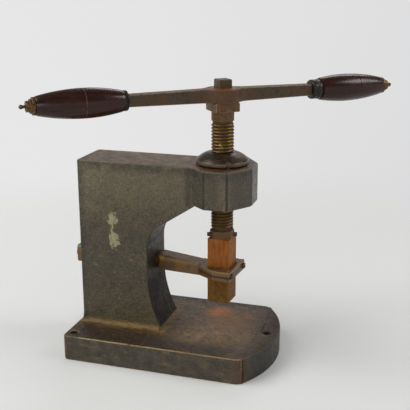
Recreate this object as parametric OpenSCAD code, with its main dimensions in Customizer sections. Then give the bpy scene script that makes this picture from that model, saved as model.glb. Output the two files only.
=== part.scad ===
/* [Base] */
// Length of the base from its rear edge to the screw axis
base_rear = 168.5; // [160:0.5:190]
// Distance from the screw axis to the two front corners of the base
base_corner = 41; // [30:0.5:60]
// How far the rounded front of the base bulges past its two corners
base_bulge = 26.5; // [10:0.5:40]
// Width of the base
base_w = 151; // [120:1:190]
// Thickness of the base
base_h = 30; // [20:0.5:45]
// Radius of the two rear corners of the base
base_corner_r = 5; // [1:0.5:12]
// Diameter of the three bolt holes
bolt_hole_d = 9.5; // [5:0.5:14]
// Distance of the rear bolt holes from the rear edge
bolt_rear_inset = 9; // [8:0.5:16]
// Distance of the rear bolt holes from the side edges
bolt_side_inset = 12.2; // [10:0.2:20]
// Distance of the front bolt hole from the front of the bulge
bolt_front_inset = 13; // [9:0.5:20]

/* [Column and arm] */
// Thickness of the column and the arm, side to side
arm_w = 59; // [50:1:80]
// Step from the rear edge of the base to the rear face of the column
column_step = 5; // [2:0.5:12]
// Depth of the column, rear face to throat face
column_depth = 83; // [60:1:100]
// Height from the underside of the base to the top of the arm
arm_top = 227; // [210:1:250]
// Slope of the underside of the arm, in degrees
arm_slope = 33; // [20:1:40]
// Height at which the sloping underside would meet the throat face
throat_corner_z = 146.3; // [140:0.5:150]
// Radius of the throat where it turns up under the arm
throat_r = 33; // [15:1:40]
// Radius of the forward flare at the foot of the column
flare_r = 135; // [110:5:220]
// Height of the flare above the base
flare_h = 65; // [40:1:75]
// Radius of the cast fillet along the foot of the column
foot_r = 5; // [2:0.5:10]

/* [Boss] */
// Height of the eight-sided boss that holds the nut
boss_h = 42.8; // [36:0.1:55]
// Distance from the screw axis to the front face of the boss
boss_front = 37.3; // [34:0.5:50]
// Width of the front face of the boss
boss_front_w = 28; // [16:1:40]
// Width of the boss across its two side faces
boss_w = 88; // [72:1:110]
// Distance from the screw axis to the front end of the side faces
boss_side_front = 17.5; // [10:0.5:25]
// Distance from the screw axis to the rear end of the side faces
boss_side_rear = 9; // [4:0.5:20]
// Distance from the screw axis to where the boss runs into the arm
boss_root = 26.5; // [22:0.5:40]

/* [Screw and nut] */
// Outside diameter of the screw thread
screw_d = 25.4; // [20:0.2:28]
// Pitch of the screw thread, single start, right hand
pitch = 3.6; // [3:0.1:5]
// Depth of the screw thread
thread_depth = 1.4; // [0.8:0.1:1.8]
// Radial clearance between the screw thread and the nut thread
thread_gap = 0.25; // [0.2:0.05:0.5]
// Length of the threaded part of the screw
thread_len = 124.3; // [112:0.1:132]
// Length of the plain neck between the thread and the square collar
neck_len = 10; // [6:0.5:16]
// Diameter of the plain neck
neck_d = 25; // [18:0.2:26]
// Width of the square collar under the lever
collar_w = 28.4; // [26:0.2:34]
// Height of the square collar
collar_h = 10; // [6:0.5:16]
// Width of the square tang that drives the lever
tang_w = 15.3; // [12:0.1:18]
// Height of the tang above the lever
tang_over = 9.5; // [4:0.5:14]
// Diameter of the plain spigot that turns in the ram
spigot_d = 15; // [10:0.5:17]
// Length of the spigot
spigot_len = 34; // [28:1:40]
// Diameter of the nut body inside the boss
nut_d = 42; // [36:1:46]
// Diameter of the domed flange of the nut
flange_d = 59; // [52:1:64]
// Height of the dome above the flange rim
dome_h = 9; // [5:0.5:14]
// Thickness of the flange rim
rim_h = 3.5; // [2:0.5:6]
// Height that the flange rim stands clear of the boss
rim_gap = 1.5; // [0.6:0.1:2.5]
// Diameter of the pin that locks the nut to the boss
lock_pin_d = 3; // [2:0.2:4]
// Length of the locking pin
lock_pin_len = 15; // [10:1:20]
// Direction of the locking pin from the screw axis, in degrees
lock_pin_turn = -62; // [-80:1:-40]

/* [Ram] */
// Width of the square ram
ram_w = 25.5; // [24:0.5:30]
// Height of the square part of the ram
ram_h = 75.6; // [68:0.1:80]
// Height of the eight-sided top of the ram
ram_top_h = 9.1; // [8:0.1:18]
// Height of the pressing face above the base at rest
daylight = 36.3; // [20:0.1:45]
// Diameter of the two retaining pins
pin_d = 4; // [3:0.2:5]
// Diameter of the retaining pin heads
pin_head_d = 4.8; // [4.2:0.1:5]
// Length of the retaining pin heads
pin_head_len = 5.2; // [2:0.1:5.6]
// Distance of the retaining pins above the square part of the ram
pin_up = 2.8; // [2.8:0.1:5]
// Turn of the ram and its guide off square to the column, in degrees
guide_turn = -5; // [-6:0.5:0]

/* [Guide] */
// Sliding clearance of the ram on each side in its guide
slide_gap = 0.3; // [0.2:0.05:0.6]
// Height of the guide bar at the column
bar_h = 18; // [14:0.5:22]
// Height of the guide bar where it becomes a fork
bar_root_h = 13; // [10:0.5:16]
// Width of the guide bar
bar_w = 20; // [16:0.5:26]
// Height of the middle of the guide bar above the underside of the base
bar_z = 104; // [96:0.5:110]
// Height of the fork prongs and the keeper plate
prong_h = 11.3; // [8:0.1:14]
// Height of the fork where it leaves the bar
fork_root_h = 12.3; // [9:0.1:15]
// Thickness of each fork prong
prong_t = 12.4; // [7:0.1:15]
// Drop of the middle of the fork below the middle of the bar
fork_drop = 1.1; // [0:0.1:5]
// Clearance between the ram and the keeper plate
keeper_gap = 2; // [0.3:0.1:3]
// Thickness of the keeper plate
keeper_t = 4; // [3:0.5:6]
// Diameter of the keeper screws
keeper_screw_d = 4; // [3:0.2:4.6]
// Diameter of the keeper screw heads
keeper_head_d = 6.4; // [5:0.2:7.6]
// Height of the keeper screw heads
keeper_head_h = 2.6; // [2:0.2:4]
// Diameter of the threaded tail of the guide bar
stud_d = 12.7; // [10:0.1:14]
// Width across the flats of the rear nut
rear_nut_w = 21; // [18:0.5:26]
// Thickness of the rear nut
rear_nut_h = 14; // [8:0.5:18]
// Diameter of the rear washer
washer_d = 27; // [22:1:32]
// Thickness of the rear washer
washer_h = 3.5; // [1.5:0.5:5]

/* [Lever and grips] */
// Direction of the lever, in degrees from the front of the press
lever_turn = 40.4; // [0:0.1:90]
// Diameter of the eye in the middle of the lever
eye_d = 38; // [34:1:44]
// Height of the eye
eye_h = 15; // [12:0.5:18]
// Width of the lever arms
lever_w = 12.5; // [9:0.5:14]
// Height of the lever arms at the grips
lever_h = 12.6; // [10:0.2:14]
// Distance from the screw axis to the inner ends of the grips
grip_start = 108; // [95:1:120]
// Distance from the screw axis to the outer ends of the grips
grip_end = 203; // [195:1:215]
// Distance from the screw axis to the joint in the left grip
left_joint = 154; // [145:1:175]
// Distance from the screw axis to the joint in the right grip
right_joint = 168; // [145:1:175]
// Largest diameter of the grips
grip_d = 31; // [26:0.5:36]
// Diameter of the inner ends of the grips
grip_in_d = 19.5; // [17:0.5:24]
// Diameter of the outer ends of the grips
grip_out_d = 19; // [17:0.5:24]
// Diameter of the spindles that carry the grips
spindle_d = 8; // [6:0.5:10]
// Length of the left ferrule
left_ferrule = 4.5; // [3:0.5:14]
// Length of the right ferrule
right_ferrule = 12; // [3:0.5:14]
// Diameter of the end cap of each grip
cap_d = 11.4; // [10:0.2:14]
// Diameter of the ball on the end of each spindle
ball_d = 4.6; // [4:0.2:7]

/* [Hidden] */
// Places along the screw axis, from the base up
ram_z = base_h + daylight;
ram_top_z = ram_z + ram_h;
shoulder_z = ram_top_z + ram_top_h;
thrust_gap = 0.2;
thread_z = shoulder_z + thrust_gap;
neck_z = thread_z + thread_len;
collar_z = neck_z + neck_len;
lever_z = collar_z + collar_h;
tang_top_z = lever_z + eye_h + tang_over;
boss_z = arm_top - boss_h;
rim_z = arm_top + rim_gap;
dome_z = rim_z + rim_h;
pin_z = ram_top_z + pin_up;
lever_mid = lever_z + eye_h / 2;

// Places along the base
throat_x = base_rear - column_step - column_depth;
column_x = base_rear - column_step;
base_front = base_corner + base_bulge;
front_r = (pow(base_w / 2, 2) + pow(base_bulge, 2)) / (2 * base_bulge);
hole_rear_x = bolt_rear_inset - base_rear;
hole_side_y = base_w / 2 - bolt_side_inset;
hole_front_x = base_front - bolt_front_inset;

// Clearances and small details
fit = 0.05;
press = 0.02;
bore_gap = 0.2;
seat_gap = 0.05;
overlap = 2;
bore_over = 10;
rim_over = 2.5;
seam_turn = 10;
grip_fat = 154;
thread_sides = 24;
core_step = 0.3;
pin_seat_r = 11.8;
screw_root_r = screw_d / 2 - thread_depth;
slot_half = ram_w / 2 + slide_gap;
fork_half = slot_half + prong_t;
fork_z = bar_z - fork_drop;
keeper_x = ram_w / 2 + keeper_gap;
keeper_screw_y = slot_half + prong_t / 2;
keeper_screw_len = 16;
fork_root = 12.2;
fork_shoulder = 2;
root_drop = 0.8;
fork_back = slot_half + fork_root;
stud_y = -throat_x * tan(guide_turn);
stud_end = 2.5;
bar_shoulder = 5;
spindle_tip = grip_end + 9;
ferrule_over = 1.2;
cap_len = 9;
groove_gap = 0.25;

// Names of the separate pieces

// A solid rod with a single-start right-hand V thread, from z0 up over the given turns.
// Each column of points climbs one pitch a turn, and root and crest alternate along it.
// The crest grows out of the root over the first turn and sinks back over the last.
module threaded_rod(root_r, crest_r, z0, turns) {
    n = thread_sides;
    rows = 2 * turns + 1;
    function at(i, r, z) = [r * cos(360 * i / n), r * sin(360 * i / n), z];
    function full(i, k) = k == 1 ? (i + 1) / n : k == rows - 2 ? 1 - i / n : 1;
    function crest(i, k) = root_r + (crest_r - root_r) * full(i, k);
    function knot(i, k) = i * (rows + 2) + k + 1;
    function foot(i) = i * (rows + 2);
    function head(i) = i * (rows + 2) + rows + 1;
    last = n - 1;
    points = [for (i = [0:last]) each [
        at(i, root_r, z0 - pitch / 4),
        for (k = [0:rows - 1])
            at(i, k % 2 == 0 ? root_r : crest(i, k), z0 + pitch * (i / n + k / 2)),
        at(i, root_r, z0 + pitch * (turns + 1.25))]];
    sides = [for (i = [0:last - 1]) each [
        [foot(i), knot(i, 0), knot(i + 1, 0)],
        [foot(i), knot(i + 1, 0), foot(i + 1)],
        for (k = [0:rows - 2]) each [
            [knot(i, k), knot(i, k + 1), knot(i + 1, k + 1)],
            [knot(i, k), knot(i + 1, k + 1), knot(i + 1, k)]],
        [knot(i, rows - 1), head(i), head(i + 1)],
        [knot(i, rows - 1), head(i + 1), knot(i + 1, rows - 1)]]];
    seam = [
        for (k = [0:rows - 4]) each [
            [knot(last, k), knot(last, k + 1), knot(0, k + 3)],
            [knot(last, k), knot(0, k + 3), knot(0, k + 2)]],
        [foot(last), knot(0, 0), foot(0)],
        [foot(last), knot(0, 1), knot(0, 0)],
        [foot(last), knot(0, 2), knot(0, 1)],
        [foot(last), knot(last, 0), knot(0, 2)],
        [knot(last, rows - 3), knot(last, rows - 2), knot(0, rows - 1)],
        [knot(last, rows - 2), knot(last, rows - 1), knot(0, rows - 1)],
        [knot(last, rows - 1), head(last), knot(0, rows - 1)],
        [head(last), head(0), knot(0, rows - 1)]];
    caps = [[for (i = [0:last]) foot(i)], [for (i = [last:-1:0]) head(i)]];
    polyhedron(points, concat(sides, seam, caps));
}

// The outline of the base, seen from above
module base_outline() {
    square_rear = base_rear - base_corner_r;
    intersection() {
        union() {
            translate([-square_rear, -base_w / 2]) square([square_rear + base_front, base_w]);
            translate([-base_rear, -base_w / 2 + base_corner_r])
                square([base_rear, base_w - 2 * base_corner_r]);
            for (side = [-1, 1])
                translate([-square_rear, side * (base_w / 2 - base_corner_r)])
                    circle(r = base_corner_r, $fn = 64);
        }
        union() {
            translate([-base_rear, -base_w / 2]) square([base_rear, base_w]);
            translate([base_front - front_r, 0]) circle(r = front_r, $fn = 128);
        }
    }
}

// The outline of the column and the arm, seen from the side
module column_outline() {
    corner_len = throat_r * tan((90 - arm_slope) / 2);
    arc_z = throat_corner_z - corner_len;
    slope_end_z = throat_corner_z + (throat_x - boss_side_rear) * tan(arm_slope);
    translate([-column_x, base_h - overlap]) square([column_depth, arm_top - base_h + overlap]);
    polygon([[-throat_x - overlap, arm_top], [-boss_side_rear, arm_top],
        [-boss_side_rear, slope_end_z], [-throat_x, throat_corner_z],
        [-throat_x - overlap, throat_corner_z]]);
    difference() {
        polygon([[-throat_x - overlap, throat_corner_z], [-throat_x - overlap, arc_z],
            [-throat_x, arc_z], [-throat_x + throat_r, arc_z],
            [-throat_x + corner_len * cos(arm_slope), throat_corner_z + corner_len * sin(arm_slope)],
            [-throat_x, throat_corner_z + overlap]]);
        translate([-throat_x + throat_r, arc_z]) circle(r = throat_r, $fn = 128);
    }
    difference() {
        translate([-throat_x - overlap, base_h - overlap])
            square([overlap + flare_r / 2, flare_h + overlap]);
        translate([-throat_x + flare_r, base_h + flare_h]) circle(r = flare_r, $fn = 256);
    }
}

// The eight-sided outline of the boss, seen from above
module boss_outline() {
    polygon([[-boss_root, -arm_w / 2], [-boss_side_rear, -boss_w / 2],
        [boss_side_front, -boss_w / 2], [boss_front, -boss_front_w / 2],
        [boss_front, boss_front_w / 2], [boss_side_front, boss_w / 2],
        [-boss_side_rear, boss_w / 2], [-boss_root, arm_w / 2]]);
}

// The fillet along one side of the foot of the column, as far as the flare is higher than it
module foot_fillet() {
    rise = flare_h - foot_r - 0.5;
    fillet_len = column_depth + flare_r - sqrt(flare_r * flare_r - rise * rise);
    translate([-column_x, arm_w / 2 - overlap, base_h - overlap])
        difference() {
            cube([fillet_len, foot_r + overlap, foot_r + overlap]);
            translate([-1, foot_r + overlap, foot_r + overlap]) rotate([0, 90, 0])
                cylinder(r = foot_r, h = fillet_len + 2, $fn = 64);
        }
}

// Places the children at each bolt hole of the base
module at_bolt_holes() {
    for (place = [[hole_rear_x, -hole_side_y], [hole_rear_x, hole_side_y], [hole_front_x, 0]])
        translate([place[0], place[1], 0]) children();
}

// Places the children at the foot of the locking pin, half in the rim of the nut
module at_lock_pin() {
    rotate([0, 0, lock_pin_turn]) translate([flange_d / 2, 0, dome_z - lock_pin_len]) children();
}

// The slot filed in the rim of the nut for the locking pin
module lock_slot() {
    slot_w = lock_pin_d + 2 * press;
    translate([-slot_w / 2, -slot_w / 2, 0]) cube([slot_w, slot_w, lock_pin_len + dome_h]);
}

module frame_casting() {
    color("#4d4a3c")
    difference() {
        union() {
            linear_extrude(base_h) base_outline();
            translate([0, arm_w / 2, 0]) rotate([90, 0, 0]) linear_extrude(arm_w) column_outline();
            translate([0, 0, boss_z]) linear_extrude(boss_h) boss_outline();
            foot_fillet();
            mirror([0, 1, 0]) foot_fillet();
        }
        at_bolt_holes() translate([0, 0, -1]) cylinder(d = bolt_hole_d, h = base_h + 2, $fn = 64);
        translate([0, 0, boss_z - bore_over])
            cylinder(d = nut_d + 2 * press, h = boss_h + 2 * bore_over, $fn = 96);
        translate([-column_x - 1, stud_y, bar_z]) rotate([0, 90, 0])
            cylinder(d = stud_d + 2 * bore_gap, h = column_depth + 2, $fn = 64);
        at_lock_pin() translate([0, 0, -0.5])
            cylinder(d = lock_pin_d + 2 * press, h = lock_pin_len, $fn = 48);
    }
}

// Half of the section of the nut, filled to the screw axis
module nut_section() {
    crown_r = screw_d / 2 + 1;
    run = flange_d / 2 - crown_r;
    arc_r = 1.6 * norm([run, dome_h]);
    lean = atan(dome_h / run);
    depth = sqrt(arc_r * arc_r - (run * run + dome_h * dome_h) / 4);
    middle = [(flange_d / 2 + crown_r) / 2, dome_z + dome_h / 2];
    translate([0, boss_z]) square([nut_d / 2, boss_h + overlap]);
    translate([0, arm_top]) square([flange_d / 2 - rim_over, rim_gap + 1]);
    translate([0, rim_z]) square([flange_d / 2, rim_h]);
    intersection() {
        translate([0, dome_z - 1]) square([flange_d / 2, dome_h + 1]);
        union() {
            translate([0, dome_z - 1]) square([crown_r, dome_h + 1]);
            translate([middle[0] - depth * sin(lean), middle[1] - depth * cos(lean)])
                circle(r = arc_r, $fn = 180);
        }
    }
}

module screw_nut() {
    first = floor((boss_z - thread_z) / pitch) - 2;
    turns = ceil((dome_z + dome_h - boss_z) / pitch) + 4;
    color("#4a3d2c")
    difference() {
        rotate([0, 0, seam_turn]) rotate_extrude($fn = 96) nut_section();
        threaded_rod(screw_root_r + thread_gap, screw_d / 2 + thread_gap,
            thread_z + first * pitch, turns);
        at_lock_pin() lock_slot();
    }
}

module nut_locking_pin() {
    color("#5a4a33") at_lock_pin() cylinder(d = lock_pin_d, h = lock_pin_len, $fn = 48);
}

// A block with its middle at the given height, between two places along the guide
module guide_block(x0, x1, half_w, z_mid, h) {
    translate([x0, -half_w, z_mid - h / 2]) cube([x1 - x0, 2 * half_w, h]);
}

// The two places where the keeper screws enter the prongs
module at_keeper_screws() {
    for (side = [-1, 1])
        translate([keeper_x, side * keeper_screw_y, fork_z]) rotate([0, 90, 0]) children();
}

module guide_fork() {
    color("#63513a")
    difference() {
        union() {
            translate([-column_x - washer_h - rear_nut_h - stud_end, stud_y, bar_z])
                rotate([0, 90, 0])
                    cylinder(d = stud_d, h = column_depth + washer_h + rear_nut_h + stud_end + 1,
                        $fn = 64);
            hull() {
                translate([-throat_x, stud_y - bar_w / 2 + bar_shoulder, bar_z - bar_h / 2])
                    cube([1, bar_w - 2 * bar_shoulder, bar_h]);
                translate([-throat_x + bar_shoulder, stud_y - bar_w / 2, bar_z - bar_h / 2])
                    cube([1, bar_w, bar_h]);
                rotate([0, 0, guide_turn])
                    guide_block(-fork_back, -fork_back + 2, bar_w / 2, fork_z - root_drop,
                        bar_root_h);
            }
            rotate([0, 0, guide_turn]) {
                hull() {
                    guide_block(-fork_back, -fork_back + 1, bar_w / 2 + 1, fork_z - root_drop,
                        fork_root_h);
                    guide_block(-fork_shoulder, keeper_x, fork_half, fork_z, prong_h);
                }
            }
        }
        rotate([0, 0, guide_turn]) {
            guide_block(-slot_half, keeper_x + 1, slot_half, fork_z, 2 * bar_h);
            at_keeper_screws() translate([0, 0, -keeper_screw_len])
                cylinder(d = keeper_screw_d + 2 * press, h = keeper_screw_len + 1, $fn = 48);
        }
    }
}

module keeper_plate() {
    color("#5c4a36")
    rotate([0, 0, guide_turn])
    difference() {
        guide_block(keeper_x, keeper_x + keeper_t, fork_half, fork_z, prong_h);
        at_keeper_screws() translate([0, 0, -1])
            cylinder(d = keeper_screw_d + 2 * bore_gap, h = keeper_t + 2, $fn = 48);
    }
}

module keeper_screws() {
    color("#3a2c20")
    rotate([0, 0, guide_turn]) at_keeper_screws() {
        translate([0, 0, 1 - keeper_screw_len])
            cylinder(d = keeper_screw_d, h = keeper_screw_len + keeper_t, $fn = 48);
        difference() {
            translate([0, 0, keeper_t]) cylinder(d = keeper_head_d, h = keeper_head_h, $fn = 48);
            translate([-0.5, -keeper_head_d, keeper_t + keeper_head_h - 1])
                cube([1, 2 * keeper_head_d, 2]);
        }
    }
}

module rear_washer() {
    color("#4a4236")
    translate([-column_x - washer_h, stud_y, bar_z]) rotate([0, 90, 0])
    difference() {
        cylinder(d = washer_d, h = washer_h, $fn = 64);
        translate([0, 0, -1]) cylinder(d = stud_d + 2 * bore_gap, h = washer_h + 2, $fn = 64);
    }
}

module rear_nut() {
    color("#403a30")
    translate([-column_x - washer_h - rear_nut_h, stud_y, bar_z]) rotate([0, 90, 0])
    difference() {
        intersection() {
            translate([-rear_nut_w / 2, -rear_nut_w / 2, 0])
                cube([rear_nut_w, rear_nut_w, rear_nut_h]);
            translate([0, 0, -1])
                cylinder(d = 1.28 * rear_nut_w, h = rear_nut_h + 2, $fn = 96);
        }
        translate([0, 0, -1]) cylinder(d = stud_d + 2 * press, h = rear_nut_h + 2, $fn = 64);
    }
}

// Places the children on the two corners of the ram top that carry the pins
module at_retaining_pins() {
    for (turn = [22, 202])
        rotate([0, 0, guide_turn + turn]) translate([0, 0, pin_z]) rotate([0, 90, 0]) children();
}

module ram() {
    corner = ram_w / 2 * (2 - sqrt(2));
    half = ram_w / 2;
    color("#5e3f20")
    difference() {
        union() {
            rotate([0, 0, guide_turn]) translate([-half, -half, ram_z]) cube([ram_w, ram_w, ram_h]);
            rotate([0, 0, guide_turn]) translate([0, 0, ram_top_z]) linear_extrude(ram_top_h)
                polygon([[-half, -half + corner], [-half + corner, -half], [half - corner, -half],
                    [half, -half + corner], [half, half - corner], [half - corner, half],
                    [-half + corner, half], [-half, half - corner]]);
        }
        translate([0, 0, shoulder_z - spigot_len - 1])
            cylinder(d = spigot_d + 2 * fit, h = spigot_len + 2, $fn = 96);
        at_retaining_pins() cylinder(d = pin_d + 2 * press, h = ram_w, $fn = 48);
        at_retaining_pins() translate([0, 0, pin_seat_r])
            cylinder(d = pin_head_d + 2 * bore_gap, h = ram_w, $fn = 48);
    }
}

// The depth to which the pin tips reach into the groove of the spigot
function groove_r() = spigot_d / 2 - 2.2;

module retaining_pins() {
    tip = groove_r() + groove_gap;
    color("#41301f")
    at_retaining_pins() {
        translate([0, 0, tip]) cylinder(d = pin_d, h = pin_seat_r - tip, $fn = 48);
        translate([0, 0, pin_seat_r]) cylinder(d = pin_head_d, h = pin_head_len, $fn = 48);
    }
}

// A square bar standing on the screw axis, turned with the lever
module square_bar(w, z, h) {
    rotate([0, 0, lever_turn]) translate([-w / 2, -w / 2, z]) cube([w, w, h]);
}

module power_screw() {
    turns = floor((thread_len - 0.5 * pitch) / pitch) - 1;
    groove_h = pin_d + 2 * groove_gap;
    color("#5b4527") {
        threaded_rod(screw_root_r, screw_d / 2, thread_z + pitch, turns);
        translate([0, 0, thread_z]) cylinder(r = screw_root_r - core_step, h = thread_len + 1, $fn = 96);
        translate([0, 0, neck_z]) cylinder(d = neck_d, h = neck_len + 1, $fn = 96);
        square_bar(collar_w, collar_z, collar_h);
        intersection() {
            square_bar(tang_w, lever_z - 1, tang_top_z - lever_z + 1);
            translate([0, 0, lever_z - 1])
                cylinder(d = 1.36 * tang_w, h = tang_top_z - lever_z + 1, $fn = 96);
        }
        difference() {
            translate([0, 0, shoulder_z - spigot_len])
                cylinder(d = spigot_d, h = spigot_len + 1, $fn = 96);
            translate([0, 0, pin_z - groove_h / 2]) difference() {
                cylinder(d = spigot_d + 2, h = groove_h, $fn = 96);
                translate([0, 0, -1]) cylinder(r = groove_r(), h = groove_h + 2, $fn = 96);
            }
        }
    }
}

// One arm of the lever, a bar that tapers from the eye to the grip
module lever_arm() {
    hull() {
        translate([eye_d / 2 - 6, -lever_w / 2, lever_z]) cube([1, lever_w, eye_h]);
        translate([grip_start - 1, -lever_w / 2, lever_mid - lever_h / 2])
            cube([1, lever_w, lever_h]);
    }
    translate([grip_start - 1, 0, lever_mid]) rotate([0, 90, 0])
        cylinder(d = spindle_d, h = spindle_tip - grip_start + 1, $fn = 48);
}

module lever() {
    color("#453a2d")
    rotate([0, 0, lever_turn])
    difference() {
        union() {
            translate([0, 0, lever_z]) cylinder(d = eye_d, h = eye_h, $fn = 96);
            for (turn = [0, 180]) rotate([0, 0, turn]) lever_arm();
        }
        translate([-tang_w / 2 - seat_gap, -tang_w / 2 - seat_gap, lever_z - 1])
            cube([tang_w + 2 * seat_gap, tang_w + 2 * seat_gap, eye_h + 2]);
    }
}

// Puts a turned piece, drawn along +Z from the screw axis, on one arm of the lever
module on_arm(turn) {
    rotate([0, 0, lever_turn + turn]) translate([0, 0, lever_mid]) rotate([0, 90, 0]) children();
}

// The barrel outline of a grip: straight ends, joined by two arcs that meet at the fattest place
module barrel_outline() {
    for (part = [[grip_start, grip_in_d], [grip_end, grip_out_d]]) {
        run = abs(grip_fat - part[0]);
        rise = (grip_d - part[1]) / 2;
        arc_r = (run * run + rise * rise) / (2 * rise);
        intersection() {
            translate([0, min(part[0], grip_fat)]) square([grip_d / 2, run]);
            translate([grip_d / 2 - arc_r, grip_fat]) circle(r = arc_r, $fn = 360);
        }
    }
}

// A stretch of a grip between two distances from the screw axis
module grip_part(from, to) {
    difference() {
        rotate_extrude($fn = 96) intersection() {
            barrel_outline();
            translate([0, from]) square([grip_d, to - from]);
        }
        translate([0, 0, from - 1]) cylinder(d = spindle_d + 2 * press, h = to - from + 2, $fn = 48);
    }
}

// The turned ring at the inner end of a grip, with a groove round its middle
module ferrule(len) {
    difference() {
        rotate_extrude($fn = 96) difference() {
            translate([0, grip_start]) square([grip_in_d / 2 + ferrule_over, len]);
            translate([grip_in_d / 2 + ferrule_over + 0.6, grip_start + len / 2])
                circle(r = 1.2, $fn = 48);
        }
        translate([0, 0, grip_start - 1]) cylinder(d = spindle_d + 2 * press, h = len + 2, $fn = 48);
    }
}

// The stepped cap that closes the outer end of a grip
module end_cap() {
    difference() {
        union() {
            translate([0, 0, grip_end]) cylinder(d = grip_out_d - 0.6, h = 3, $fn = 96);
            translate([0, 0, grip_end + 3]) cylinder(d = (grip_out_d + cap_d) / 2, h = 2.4, $fn = 96);
            translate([0, 0, grip_end + 5.4]) cylinder(d = cap_d, h = cap_len - 5.4, $fn = 96);
        }
        translate([0, 0, grip_end - 1]) cylinder(d = spindle_d + 2 * press, h = cap_len + 2, $fn = 48);
    }
}

// The small ball that holds the cap on the end of the spindle
module ball_nut() {
    translate([0, 0, spindle_tip]) cylinder(d = ball_d - 1.4, h = 3, $fn = 48);
    translate([0, 0, spindle_tip + 2 + ball_d / 2]) sphere(d = ball_d, $fn = 48);
}

module left_ferrule_ring() { color("#2a2320") on_arm(180) ferrule(left_ferrule); }
module left_grip_inner() {
    color("#33201a") on_arm(180) grip_part(grip_start + left_ferrule, left_joint);
}
module left_grip_outer() {
    color("#33201a") on_arm(180) grip_part(left_joint, grip_end);
}
module left_end_cap() { color("#6b5533") on_arm(180) end_cap(); }
module left_ball_nut() { color("#6b5533") on_arm(180) ball_nut(); }

module right_ferrule_ring() { color("#2a2320") on_arm(0) ferrule(right_ferrule); }
module right_grip_inner() {
    color("#33201a") on_arm(0) grip_part(grip_start + right_ferrule, right_joint);
}
module right_grip_outer() {
    color("#33201a") on_arm(0) grip_part(right_joint, grip_end);
}
module right_end_cap() { color("#6b5533") on_arm(0) end_cap(); }
module right_ball_nut() { color("#6b5533") on_arm(0) ball_nut(); }

frame_casting();
screw_nut();
nut_locking_pin();
guide_fork();
keeper_plate();
keeper_screws();
rear_washer();
rear_nut();
ram();
retaining_pins();
power_screw();
lever();
left_ferrule_ring();
left_grip_inner();
left_grip_outer();
left_end_cap();
left_ball_nut();
right_ferrule_ring();
right_grip_inner();
right_grip_outer();
right_end_cap();
right_ball_nut();
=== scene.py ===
"""Looks of an old dry mounting press: an enamelled iron casting, rusty steel working parts and
lacquered wooden grips. Lengths are in metres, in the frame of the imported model."""

import math

import bmesh
import bpy
from mathutils import Matrix, Vector


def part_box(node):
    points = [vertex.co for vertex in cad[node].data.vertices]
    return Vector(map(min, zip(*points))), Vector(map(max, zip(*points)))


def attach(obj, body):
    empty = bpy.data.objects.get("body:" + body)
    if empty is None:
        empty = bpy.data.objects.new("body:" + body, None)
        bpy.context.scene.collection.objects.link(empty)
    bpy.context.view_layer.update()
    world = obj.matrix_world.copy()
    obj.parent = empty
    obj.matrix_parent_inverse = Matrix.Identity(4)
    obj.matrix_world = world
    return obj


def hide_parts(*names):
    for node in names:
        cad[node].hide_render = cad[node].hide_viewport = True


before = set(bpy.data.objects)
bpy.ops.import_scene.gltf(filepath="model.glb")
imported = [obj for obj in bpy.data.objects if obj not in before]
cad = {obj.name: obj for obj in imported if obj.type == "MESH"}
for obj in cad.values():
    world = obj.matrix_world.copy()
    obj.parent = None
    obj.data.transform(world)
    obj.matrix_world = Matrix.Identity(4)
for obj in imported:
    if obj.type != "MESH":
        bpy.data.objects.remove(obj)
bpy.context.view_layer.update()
MM = 0.001

# ---------------------------------------------------------------- sizes that the looks share
LEVER_TURN = math.radians(40.4)
LEVER_MID = (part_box("left_ball_nut")[0].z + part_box("left_ball_nut")[1].z) / 2
THREAD_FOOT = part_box("ram")[1].z + 0.2 * MM
NECK_FOOT = 275.5 * MM
PITCH = 3.6 * MM
COLUMN_SIDE = 29.5 * MM     # half the width of the column
COLUMN_BACK = -163.5 * MM
FLARE_FOOT = -63.8 * MM     # where the front of the column meets the base
BASE_TOP = 30 * MM
ARM_TOP = 227 * MM
RAM_SHOULDER = 141.9 * MM   # where the square of the ram ends in its eight-sided neck

# The lever and its grips, in mm from the screw axis
GRIP_START, GRIP_FATTEST, GRIP_END = 108.0, 154.0, 203.0
SPINDLE_R = 4.0
BALL_MID, BALL_R = 216.3, 2.3


# ---------------------------------------------------------------- materials
def srgb(code):
    """A hex colour, as it looks on screen, in the renderer's linear light."""
    def straight(part):
        value = int(part, 16) / 255
        return value / 12.92 if value <= 0.04045 else ((value + 0.055) / 1.055) ** 2.4
    return tuple(straight(code[i:i + 2]) for i in (1, 3, 5)) + (1.0,)


def put(tree, kind, sockets=(), **settings):
    """Adds one shader node: settings are its own choices, sockets its values and links."""
    made = tree.nodes.new("ShaderNode" + kind)
    for name, value in settings.items():
        setattr(made, name, value)
    for name, value in dict(sockets).items():
        if isinstance(value, bpy.types.NodeSocket):
            tree.links.new(value, made.inputs[name])
        else:
            made.inputs[name].default_value = value
    return made


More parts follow.
